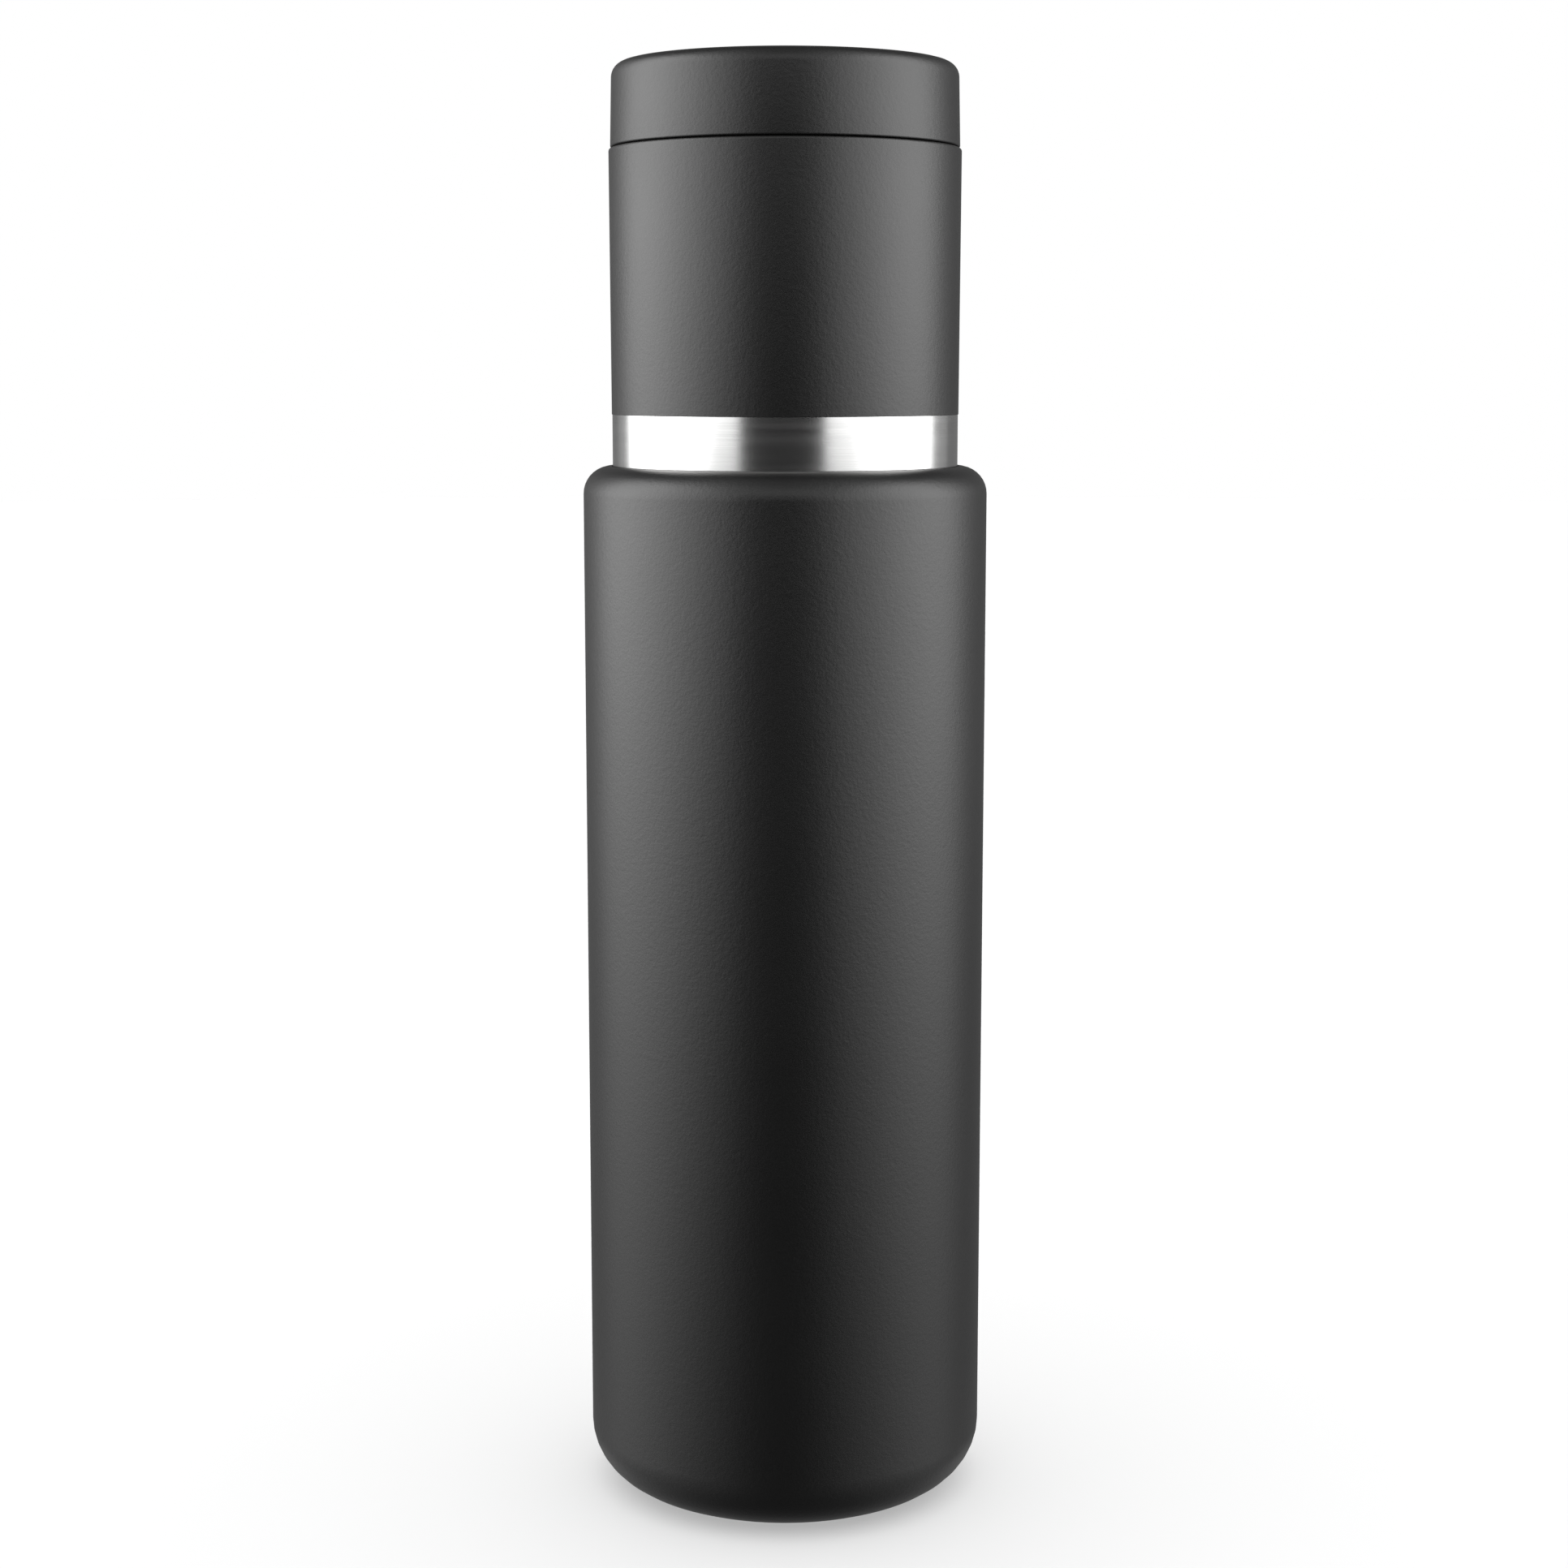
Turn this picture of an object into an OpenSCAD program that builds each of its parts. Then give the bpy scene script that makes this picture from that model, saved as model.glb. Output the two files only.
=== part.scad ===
// Vacuum flask: a double-walled bottle, a drinking cup that screws upside down
// over its neck, and a screw cap that closes the cup's spout.
// Millimetres, +Z up, origin on the base plane at the centre of the foot.

/* [Bottle] */
// Outer diameter of the bottle
body_d = 72; // [68:0.5:78]
// Height of the bottle's shoulder above the base
shoulder_z = 187.45; // [150:0.05:220]
// Radius of the rounded bottom edge
base_round = 10.5; // [8:0.5:11]
// Radius of the rounded shoulder
shoulder_round = 5.1; // [4:0.1:5.1]
// Depth of the recess in the shoulder that the cup's lip sits in
seat_depth = 0.5; // [0.3:0.1:0.8]
// Bore of the bottle's mouth
mouth_d = 44.8; // [44:0.1:45]
// Width of the vacuum space between the two walls
vacuum_gap = 2.8; // [2.6:0.1:3.5]

/* [Cup] */
// Diameter of the coated cup at its closed end
cup_d = 62.1; // [62:0.1:63]
// Diameter of the bare steel lip
lip_d = 61.5; // [61.3:0.1:61.8]
// Height of the cup
cup_h = 55.7; // [54:0.1:60]
// Height of the bare steel lip
lip_h = 9.5; // [6:0.1:10]
// Gap under the lip, and twice that beside it, in the shoulder's recess
lip_gap = 0.1; // [0.1:0.05:0.3]
// Thickness of the coating, seen as a step above the bare lip
coat_t = 0.1; // [0.05:0.01:0.2]

/* [Cap] */
// Diameter of the cap at its lower edge
cap_d = 61.5; // [61.3:0.1:62]
// Height of the cap
cap_h = 14.5; // [14.5:0.1:16]
// Radius of the cap's rounded top edge
cap_round = 2.6; // [2:0.1:3]
// Open seam between the cup and the cap
cap_seam = 0.25; // [0.2:0.05:0.5]

/* [Threads] */
// Lead of the thread between the bottle and the cup
neck_lead = 10.5; // [9:0.5:12]
// Starts of the thread between the bottle and the cup
neck_starts = 3; // [3]
// Lead of the thread between the cup's spout and the cap
spout_lead = 6; // [5:0.5:7]
// Starts of the thread between the cup's spout and the cap
spout_starts = 2; // [2]
// Clearance between a thread's crest and the wall that faces it
thread_gap = 0.4; // [0.3:0.05:0.5]

/* [Hidden] */

$fn = 96;

coat_black = [0.11, 0.11, 0.115];
bare_steel = [0.72, 0.71, 0.69];
bright_steel = [0.80, 0.80, 0.80];
moulded_black = [0.07, 0.07, 0.075];
silicone_grey = [0.30, 0.30, 0.31];

// Sheet thicknesses
shell_t = 0.5;
liner_t = 0.4;
foil_t = 0.06;
cap_t = 0.6;

// Bottle
body_r = body_d / 2;
shell_z = 0.4;
seat_z = shoulder_z - seat_depth;
seat_r = lip_d / 2 + 2 * lip_gap;
foot_r = body_r - base_round - 1;
foot_flange_z = 3.6;
plate_z = 2.6;
plate_r = foot_r - shell_t;
dimple_rise = 0.8;
pump_hole_r = 1;
getter_x = 14;
getter_r = 4;
getter_h = 2;
getter_wall = 0.3;
getter_z = plate_z + shell_t;
liner_r = body_r - shell_t - vacuum_gap;
liner_z = 7;
liner_top_z = shoulder_z - shell_t - 2.2;
liner_low_round = 12;
liner_high_round = 6;
mouth_r = mouth_d / 2;
neck_r = mouth_r + 2;
neck_top_z = shoulder_z + 23.3;
lip_bead_r = 1;
neck_crown_z = neck_top_z + lip_bead_r;

// Thread on the bottle's neck
neck_wall_r = neck_r + 1;
neck_crest_r = neck_wall_r + 1.2;
neck_ring_z = shoulder_z + 8;
neck_ring_h = 14.4;
neck_thread_z = neck_ring_z + 2.9;
neck_thread_rise = 9;

// Cup, drawn as it sits on the bottle, with its lip at the bottom
cup_z = seat_z + lip_gap;
cup_top_z = cup_z + cup_h;
coat_edge_z = cup_z + lip_h;
cup_r = cup_d / 2;
lip_r = lip_d / 2;
cup_edge_round = 0.5;
lip_roll_r = 0.5;
cup_liner_r = 28.7;
cup_liner_top_z = cup_top_z - 4.1;
cup_flare_z = cup_z + 8.4;
cup_ring_z = shoulder_z + 7.4;
cup_ring_top_z = neck_crown_z + 3.5;
cup_thread_wall_r = neck_crest_r + thread_gap;
cup_thread_crest_r = neck_wall_r + thread_gap;
gasket_t = 1.9;
gasket_seat_z = neck_crown_z + 0.05;
gasket_r = cup_thread_wall_r - 0.7;
gasket_side_gap = 0.3;

// Spout through the cup's closed end
spout_bore_r = 15.6;
spout_wall_r = 17.6;
spout_crest_r = 18.7;
spout_body_r = 19.4;
spout_flange_r = 22.5;
spout_flange_t = 1.2;
spout_gasket_t = 0.6;
spout_top_z = cup_top_z + 10;
spout_low_z = cup_top_z - 9.1;
spout_flange_z = cup_top_z + spout_gasket_t;
spout_thread_z = spout_flange_z + 2.8;
spout_thread_rise = 4.2;
nut_r = 23.5;
nut_z = cup_top_z - 8.8;
nut_h = 3.4;
nut_notches = 6;

// Cap
cap_z = cup_top_z + cap_seam;
cap_top_z = cap_z + cap_h;
cap_r = cap_d / 2;
cap_draft = 0.3;
cap_thread_wall_r = spout_crest_r + thread_gap;
cap_thread_crest_r = spout_wall_r + thread_gap;
cap_skirt_r = cap_thread_wall_r + 1.9;
cap_web_z = cap_z + 0.35;
cap_web_t = 1.5;
cap_well_r = spout_flange_r + 0.7;
cap_roof_z = cap_z + 11.55;
cap_roof_t = 1.2;
cap_gasket_t = cap_roof_z - spout_top_z - 0.05;
cap_plate_r = 14.2;

// Half section of a plain ring, from one radius to another
module band(r_in, r_out, z_low, z_high) {
    translate([r_in, z_low]) square([r_out - r_in, z_high - z_low]);
}

// Half section of a solid block of revolution with rounded outer edges
module rounded_half(r, z_low, z_high, low_round, high_round) {
    band(0, r, z_low + low_round, z_high - high_round);
    band(0, r - low_round, z_low, z_low + low_round);
    band(0, r - high_round, z_high - high_round, z_high);
    translate([r - low_round, z_low + low_round]) circle(r = low_round);
    translate([r - high_round, z_high - high_round]) circle(r = high_round);
}

// Upper half of a rolled edge's round bead
module roll(r, z, bead_r) {
    intersection() {
        translate([r, z]) circle(r = bead_r);
        band(r - bead_r, r + bead_r, z, z + bead_r);
    }
}

module ring(r_in, r_out, z_low, z_high) {
    rotate_extrude() band(r_in, r_out, z_low, z_high);
}

// One helical ridge with a trapezoid section, fading into its wall at both ends
module ridge(wall_r, crest_r, z_start, rise, lead) {
    steps = ceil(36 * rise / lead);
    fade_steps = 4;
    bite = 0.3;
    root_w = 1.7;
    crest_w = 0.8;
    side = crest_r > wall_r ? 1 : -1;
    root_r = wall_r - side * bite;
    low_tip_r = wall_r - side * bite / 2;
    function fade(i) = min(1, i / fade_steps, (steps - i) / fade_steps);
    function tip(i) = low_tip_r + (crest_r - low_tip_r) * fade(i);
    function at(r, a, z) = [r * cos(a), r * sin(a), z];
    points = [
        for (i = [0 : steps])
            let (a = 360 * rise / lead * i / steps, z = z_start + rise * i / steps)
            each [
                at(root_r, a, z - root_w / 2),
                at(tip(i), a, z - crest_w / 2),
                at(tip(i), a, z + crest_w / 2),
                at(root_r, a, z + root_w / 2)
            ]
    ];
    function corner(i, j) = 4 * i + j % 4;
    walls = [
        for (i = [0 : steps - 1], j = [0 : 3])
            each [
                [corner(i, j), corner(i + 1, j), corner(i + 1, j + 1)],
                [corner(i, j), corner(i + 1, j + 1), corner(i, j + 1)]
            ]
    ];
    ends = [
        [0, 1, 2], [0, 2, 3],
        [corner(steps, 2), corner(steps, 1), corner(steps, 0)],
        [corner(steps, 3), corner(steps, 2), corner(steps, 0)]
    ];
    outward = [for (f = concat(walls, ends)) side < 0 ? f : [f[2], f[1], f[0]]];
    polyhedron(points = points, faces = outward, convexity = 6);
}

module thread(wall_r, crest_r, z_start, rise, lead, starts) {
    first_start = 7;
    for (k = [0 : starts - 1])
        rotate([0, 0, first_start + k * 360 / starts])
            ridge(wall_r, crest_r, z_start, rise, lead);
}

// Bottle -------------------------------------------------------------------

// Coated steel skin, with the lip's recess in its shoulder, its neck and the flange around the foot
module outer_shell() {
    color(coat_black)
    rotate_extrude() {
        difference() {
            union() {
                difference() {
                    rounded_half(body_r, shell_z, shoulder_z, base_round, shoulder_round);
                    band(0, seat_r, seat_z, shoulder_z + 1);
                }
                band(0, neck_r, shoulder_z - shoulder_round, neck_top_z);
            }
            difference() {
                rounded_half(body_r - shell_t, shell_z + shell_t, shoulder_z - shell_t,
                    base_round - shell_t, shoulder_round - shell_t);
                band(0, seat_r + shell_t, seat_z - shell_t, shoulder_z);
            }
            band(0, neck_r - shell_t, shoulder_z - shoulder_round, neck_top_z + 1);
            band(0, foot_r, 0, shell_z + 1);
        }
        band(foot_r - shell_t, foot_r, shell_z, foot_flange_z);
    }
}

// Bare steel inner bottle, hung from the rolled lip of the mouth
module inner_vessel() {
    color(bright_steel)
    rotate_extrude() {
        difference() {
            union() {
                rounded_half(liner_r, liner_z, liner_top_z, liner_low_round, liner_high_round);
                band(0, mouth_r + liner_t, liner_top_z - liner_high_round, neck_top_z);
            }
            rounded_half(liner_r - liner_t, liner_z + liner_t, liner_top_z - liner_t,
                liner_low_round - liner_t, liner_high_round - liner_t);
            band(0, mouth_r, liner_top_z - liner_high_round, neck_top_z + 1);
        }
        roll(mouth_r + lip_bead_r, neck_top_z, lip_bead_r);
    }
}

// Steel collar welded round the neck, with the thread for the cup
module neck_thread_ring() {
    color(bright_steel)
    union() {
        ring(neck_r, neck_wall_r, neck_ring_z, neck_ring_z + neck_ring_h);
        thread(neck_wall_r, neck_crest_r, neck_thread_z, neck_thread_rise,
            neck_lead, neck_starts);
    }
}

// Copper foil wrapped round the inner bottle, inside the vacuum
module reflective_foil() {
    color([0.72, 0.45, 0.30])
    ring(liner_r, liner_r + foil_t, liner_z + liner_low_round, liner_top_z - liner_high_round);
}

// Pressed steel floor welded into the foot, with the dimple for the pump-out hole
module base_plate() {
    color(bare_steel)
    rotate_extrude() {
        polygon([
            [pump_hole_r, plate_z + dimple_rise],
            [3.5, plate_z + dimple_rise],
            [4.6, plate_z],
            [plate_r, plate_z],
            [plate_r, plate_z + shell_t],
            [4.6, plate_z + shell_t],
            [3.5, plate_z + dimple_rise + shell_t],
            [pump_hole_r, plate_z + dimple_rise + shell_t]
        ]);
    }
}

// Solder glass that closes the pump-out hole
module vacuum_seal_bead() {
    color([0.35, 0.38, 0.36])
    union() {
        translate([0, 0, plate_z + 0.2]) cylinder(r = 3, h = dimple_rise - 0.2);
        translate([0, 0, plate_z + dimple_rise]) cylinder(r = pump_hole_r, h = shell_t);
    }
}

// Small steel tray spot-welded to the floor, inside the vacuum
module getter_holder() {
    color(bare_steel)
    translate([getter_x, 0, getter_z])
    difference() {
        cylinder(r = getter_r + getter_wall, h = getter_h);
        translate([0, 0, getter_wall]) cylinder(r = getter_r, h = getter_h);
    }
}

// Getter pellet that keeps the vacuum clean
module getter_pellet() {
    color([0.45, 0.44, 0.42])
    translate([getter_x, 0, getter_z + getter_wall]) cylinder(r = getter_r, h = getter_h);
}

// Silicone foot that fills the recess under the floor
module base_pad() {
    pad_r = plate_r;
    pad_edge = 0.6;
    groove_w = 1.6;
    groove_depth = 0.6;
    groove_r = [10, 14, 18];
    color(silicone_grey)
    rotate_extrude() {
        difference() {
            union() {
                band(0, pad_r, pad_edge, plate_z);
                band(0, pad_r - pad_edge, 0, pad_edge);
                translate([pad_r - pad_edge, pad_edge]) circle(r = pad_edge);
            }
            for (r = groove_r) band(r, r + groove_w, -1, groove_depth);
            band(0, 4.6, plate_z - 0.4, plate_z + 1);
        }
    }
}

// Cup ----------------------------------------------------------------------

// Steel outside of the cup: coated, with a bare rolled lip
module cup_sleeve() {
    inner_top_r = cup_r - coat_t - shell_t;
    color(coat_black)
    rotate_extrude() {
        difference() {
            union() {
                polygon([
                    [0, coat_edge_z],
                    [lip_r + coat_t, coat_edge_z],
                    [cup_r, cup_top_z - cup_edge_round],
                    [0, cup_top_z - cup_edge_round]
                ]);
                band(0, lip_r, cup_z + lip_roll_r, coat_edge_z);
                band(0, cup_r - cup_edge_round, cup_top_z - cup_edge_round, cup_top_z);
                translate([cup_r - cup_edge_round, cup_top_z - cup_edge_round])
                    circle(r = cup_edge_round);
            }
            polygon([
                [0, cup_z],
                [lip_r - lip_roll_r, cup_z],
                [lip_r - lip_roll_r, coat_edge_z],
                [inner_top_r, cup_top_z - shell_t],
                [0, cup_top_z - shell_t]
            ]);
            band(0, spout_body_r + 0.1, cup_top_z - 1, cup_top_z + 1);
        }
        mirror([0, 1])
            roll(lip_r - lip_roll_r, -cup_z - lip_roll_r, lip_roll_r);
    }
}

// Bare steel inside of the cup, flared out to meet the lip
module cup_liner() {
    corner_round = 5;
    lip_inner_r = lip_r - 2 * lip_roll_r;
    color(bright_steel)
    rotate_extrude() {
        difference() {
            rounded_half(cup_liner_r + liner_t, cup_flare_z, cup_liner_top_z + liner_t, 0.01,
                corner_round + liner_t);
            rounded_half(cup_liner_r, cup_flare_z - 1, cup_liner_top_z, 0.01, corner_round);
            band(0, spout_wall_r, cup_liner_top_z - 1, cup_liner_top_z + 1);
        }
        polygon([
            [lip_inner_r, cup_z + lip_roll_r],
            [lip_inner_r + liner_t, cup_z + lip_roll_r],
            [cup_liner_r + liner_t, cup_flare_z + 0.01],
            [cup_liner_r, cup_flare_z + 0.01]
        ]);
    }
}

// Moulded ring inside the cup, with the thread for the bottle and the gasket seat
module cup_thread_ring() {
    color(moulded_black)
    union() {
        rotate_extrude() {
            band(cup_thread_wall_r, cup_liner_r, cup_ring_z, cup_ring_top_z);
            band(mouth_r + 0.4, cup_thread_wall_r, gasket_seat_z + gasket_t, cup_ring_top_z);
            band(gasket_r + gasket_side_gap, cup_thread_wall_r, neck_top_z + 0.3,
                gasket_seat_z + gasket_t);
        }
        thread(cup_thread_wall_r, cup_thread_crest_r, neck_thread_z + neck_lead / neck_starts / 2,
            neck_thread_rise - 2, neck_lead, neck_starts);
    }
}

// Silicone washer that the cup presses on the bottle's lip
module cup_gasket() {
    color(silicone_grey)
    ring(mouth_r + 0.5, gasket_r, gasket_seat_z, gasket_seat_z + gasket_t);
}

// Moulded drinking spout, standing out of the cup's closed end
module spout() {
    lip_half = (spout_wall_r - spout_bore_r) / 2;
    color(moulded_black)
    union() {
        rotate_extrude() {
            band(spout_bore_r, spout_wall_r - 0.2, spout_low_z, cup_liner_top_z + liner_t);
            band(spout_bore_r, spout_body_r, cup_liner_top_z + liner_t, spout_flange_z);
            band(spout_bore_r, spout_flange_r, spout_flange_z, spout_flange_z + spout_flange_t);
            band(spout_bore_r, spout_wall_r, spout_flange_z + spout_flange_t,
                spout_top_z - lip_half);
            roll(spout_bore_r + lip_half, spout_top_z - lip_half, lip_half);
        }
        thread(spout_wall_r, spout_crest_r, spout_thread_z, spout_thread_rise,
            spout_lead, spout_starts);
    }
}

// Washer between the spout's flange and the outside of the cup
module spout_flange_gasket() {
    color(silicone_grey)
    ring(spout_body_r + 0.3, spout_flange_r - 0.2, cup_top_z, spout_flange_z);
}

// Moulded nut that clamps the spout from inside the cup
module spout_nut() {
    color(moulded_black)
    difference() {
        ring(spout_wall_r - 0.2, nut_r, nut_z, nut_z + nut_h);
        for (k = [0 : nut_notches - 1])
            rotate([0, 0, k * 360 / nut_notches])
                translate([nut_r, 0, nut_z - 1]) cylinder(r = 1.8, h = nut_h);
    }
}

// Washer between the nut and the inside of the cup
module spout_nut_gasket() {
    color(silicone_grey)
    ring(spout_wall_r - 0.2, nut_r - 0.7, nut_z + nut_h, cup_liner_top_z);
}

// Cap ----------------------------------------------------------------------

// Half section of the cap's outside, inset by a wall thickness
module cap_half(inset) {
    top_r = cap_r - cap_draft - inset;
    edge_r = cap_round - inset;
    polygon([
        [0, cap_z],
        [cap_r - inset, cap_z],
        [top_r, cap_top_z - cap_round],
        [0, cap_top_z - cap_round]
    ]);
    band(0, top_r - edge_r, cap_top_z - cap_round, cap_top_z - inset);
    translate([top_r - edge_r, cap_top_z - cap_round]) circle(r = edge_r);
}

// Coated steel outside of the cap
module cap_shell() {
    color(coat_black)
    rotate_extrude()
    difference() {
        cap_half(0);
        cap_half(cap_t);
    }
}

// Moulded inside of the cap, with the thread for the spout
module cap_core() {
    color(moulded_black)
    union() {
        rotate_extrude() {
            intersection() {
                cap_half(cap_t);
                band(cap_well_r, cap_r, cap_web_z, cap_web_z + cap_web_t);
            }
            band(cap_thread_wall_r, cap_well_r + 1.2, cap_web_z + cap_web_t,
                cap_web_z + 2 * cap_web_t);
            band(cap_thread_wall_r, cap_skirt_r, cap_web_z + 2 * cap_web_t, cap_roof_z);
            band(0, cap_skirt_r, cap_roof_z, cap_roof_z + cap_roof_t);
        }
        thread(cap_thread_wall_r, cap_thread_crest_r,
            spout_thread_z + spout_lead / spout_starts / 2, spout_thread_rise - 1,
            spout_lead, spout_starts);
    }
}

// Foam moulding that fills the cap
module cap_foam() {
    color([0.85, 0.84, 0.80])
    rotate_extrude()
    difference() {
        intersection() {
            cap_half(cap_t + 0.2);
            band(0, cap_r, cap_web_z + cap_web_t, cap_top_z);
        }
        band(0, cap_skirt_r, cap_z, cap_roof_z + cap_roof_t);
        band(0, cap_well_r + 1.2, cap_z, cap_web_z + 2 * cap_web_t);
    }
}

// Steel disc under the cap's roof, facing the drink
module cap_plate() {
    color(bright_steel)
    translate([0, 0, cap_roof_z - 1]) cylinder(r = cap_plate_r, h = 1);
}

// Silicone ring that the cap presses on the spout's lip
module cap_gasket() {
    color(silicone_grey)
    ring(cap_plate_r + 0.4, spout_crest_r - 0.1, cap_roof_z - cap_gasket_t, cap_roof_z);
}

outer_shell();
inner_vessel();
neck_thread_ring();
reflective_foil();
base_plate();
vacuum_seal_bead();
getter_holder();
getter_pellet();
base_pad();
cup_sleeve();
cup_liner();
cup_thread_ring();
spout();
spout_flange_gasket();
spout_nut();
spout_nut_gasket();
cup_gasket();
cap_shell();
cap_core();
cap_foam();
cap_plate();
cap_gasket();
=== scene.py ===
"""Looks for the vacuum flask: turned pieces with real edges and threads, and their materials."""

import math

import bmesh
import bpy
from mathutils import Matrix, Vector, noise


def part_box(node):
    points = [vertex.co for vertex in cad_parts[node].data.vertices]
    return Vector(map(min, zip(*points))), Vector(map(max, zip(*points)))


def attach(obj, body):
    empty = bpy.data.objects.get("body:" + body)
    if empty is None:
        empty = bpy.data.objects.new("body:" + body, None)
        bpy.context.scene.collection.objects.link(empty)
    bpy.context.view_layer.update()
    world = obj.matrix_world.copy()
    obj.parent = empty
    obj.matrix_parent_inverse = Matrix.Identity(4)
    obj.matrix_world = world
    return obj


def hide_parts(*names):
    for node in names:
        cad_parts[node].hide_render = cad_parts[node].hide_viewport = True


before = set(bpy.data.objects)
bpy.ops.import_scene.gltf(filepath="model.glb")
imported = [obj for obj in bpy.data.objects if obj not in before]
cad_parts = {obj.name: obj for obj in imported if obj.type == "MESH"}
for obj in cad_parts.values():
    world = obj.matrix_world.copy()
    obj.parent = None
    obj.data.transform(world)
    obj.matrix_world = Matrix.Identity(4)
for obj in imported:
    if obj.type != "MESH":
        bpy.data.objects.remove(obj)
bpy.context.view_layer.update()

MM = 0.001
TURN = 2 * math.pi

# ---------------------------------------------------------------- dimensions, in millimetres


def reach(node):
    """(largest radius, lowest z, highest z) of a round CAD node on the flask's axis."""
    low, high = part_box(node)
    return high[0] / MM, low[2] / MM, high[2] / MM


BODY_R, SHELL_Z, NECK_TOP_Z = reach("outer_shell")
LINER_R, LINER_Z, CROWN_Z = reach("inner_vessel")
_, NECK_RING_Z, NECK_RING_TOP_Z = reach("neck_thread_ring")
_, FOIL_Z, FOIL_TOP_Z = reach("reflective_foil")
PLATE_R, PLATE_Z, _ = reach("base_plate")
CUP_R, CUP_Z, CUP_TOP_Z = reach("cup_sleeve")
_, CUP_RING_Z, CUP_RING_TOP_Z = reach("cup_thread_ring")
SPOUT_FLANGE_R, SPOUT_Z, SPOUT_TOP_Z = reach("spout")
FLANGE_GASKET_R, _, SPOUT_FLANGE_Z = reach("spout_flange_gasket")
NUT_R, NUT_Z, NUT_TOP_Z = reach("spout_nut")
NUT_GASKET_R, _, CUP_FLOOR_Z = reach("spout_nut_gasket")
CUP_GASKET_R, CUP_GASKET_Z, CUP_GASKET_TOP_Z = reach("cup_gasket")
CAP_R, CAP_Z, CAP_TOP_Z = reach("cap_shell")
_, CAP_WEB_Z, CAP_ROOF_TOP_Z = reach("cap_core")
_, FOAM_Z, FOAM_TOP_Z = reach("cap_foam")
CAP_PLATE_R, CAP_PLATE_Z, CAP_ROOF_Z = reach("cap_plate")
CAP_GASKET_R, CAP_GASKET_Z, _ = reach("cap_gasket")

SHELL_T = 0.5
LINER_T = 0.4
COAT_T = 0.1
CAP_T = 0.6

LIP_GAP = 0.1
LIP_R = 30.75
SEAT_DEPTH = 0.5
SEAT_FLAT = 0.15
SEAT_R = LIP_R + 2 * LIP_GAP
SEAT_Z = CUP_Z - LIP_GAP
SHOULDER_Z = SEAT_Z + SEAT_DEPTH
SHOULDER_ROUND = BODY_R - SEAT_R - SEAT_FLAT
BASE_ROUND = 10.5
FOOT_FLAT = 1.0
FOOT_R = BODY_R - BASE_ROUND - FOOT_FLAT
FOOT_FLANGE_Z = 3.6
COAT_STOP_R = 28.0
MOUTH_R = 22.4
NECK_R = 24.4
LINER_LOW_ROUND = 12.0
LINER_HIGH_ROUND = 6.0
VACUUM_GAP = 2.2
LINER_TOP_Z = SHOULDER_Z - SHELL_T - VACUUM_GAP
FOIL_T = 0.06
NECK_WALL_R = 25.4
DIMPLE_RISE = 0.8
DIMPLE_R = 3.5
DIMPLE_EDGE_R = 4.6
PUMP_HOLE_R = 1.0
BEAD_R = 3.0

LIP_ROLL_R = 0.5
LIP_H = 9.5
COAT_EDGE_Z = CUP_Z + LIP_H
CUP_EDGE_ROUND = 0.5
SPOUT_HOLE_R = 19.5
CUP_LINER_R = 28.7
CUP_FLARE_H = 8.4
CUP_RING_BORE_R = 22.8
CUP_RING_WALL_R = 27.0
CUP_POCKET_R = 26.6
CUP_POCKET_Z = NECK_TOP_Z + 0.3

SPOUT_BORE_R = 15.6
SPOUT_TAIL_R = 17.4
SPOUT_WALL_R = 17.6
SPOUT_BODY_R = 19.4
SPOUT_FLANGE_T = 1.2

CAP_ROUND = 2.6
CAP_TOP_R = CAP_R - 0.3
CAP_WEB_T = 1.5
CAP_WELL_R = 23.2
CAP_WALL_R = 19.1
CAP_SKIRT_R = 21.0

NECK_THREAD = dict(z_start=NECK_RING_Z + 2.9, rise=9.0, lead=10.5, starts=3, height=1.2)
SPOUT_THREAD = dict(z_start=SPOUT_FLANGE_Z + 2.8, rise=4.2, lead=6.0, starts=2, height=1.1)
FIRST_START = math.radians(7)
FILLET_GAP = 0.01
SHARP_ANGLE = math.radians(28)

# ---------------------------------------------------------------- meshes


def outline(corners):
    """A closed outline of (r, z) points from corners given as (r, z) or (r, z, fillet radius)."""
    points = []
    count = len(corners)
    for i, corner in enumerate(corners):
        here = Vector(corner[:2])
        radius = corner[2] if len(corner) > 2 else 0.0
        to_last = (Vector(corners[i - 1][:2]) - here).normalized()
        to_next = (Vector(corners[(i + 1) % count][:2]) - here).normalized()
        opening = to_last.angle(to_next)
        if radius <= 0.0 or opening > math.pi - 1e-4:
            points.append(tuple(here))
            continue
        tangent = radius / math.tan(opening / 2)
        centre = here + (to_last + to_next).normalized() * radius / math.sin(opening / 2)
        first = here + to_last * tangent - centre
        last = here + to_next * tangent - centre
        sweep = math.pi - opening
        steps = max(2, math.ceil(sweep / math.radians(11)))
        for k in range(steps + 1):
            a, b = math.sin(sweep * (1 - k / steps)), math.sin(sweep * k / steps)
            points.append(tuple(centre + (first * a + last * b) / math.sin(sweep)))
    return points


def ladder(r, z_from, z_to, step=0.2):
    """Points up or down a wall, close enough together to carry a crease or a notch."""
    count = max(1, round(abs(z_to - z_from) / step))
    return [(r, z_from + (z_to - z_from) * k / count) for k in range(count + 1)]


def mate(thread, shorter):
    """The female thread for a male one: half a pitch above it, and shorter in its rise."""
    half_pitch = thread["lead"] / thread["starts"] / 2
    return dict(thread, z_start=thread["z_start"] + half_pitch, rise=thread["rise"] - shorter, inward=True)


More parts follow.
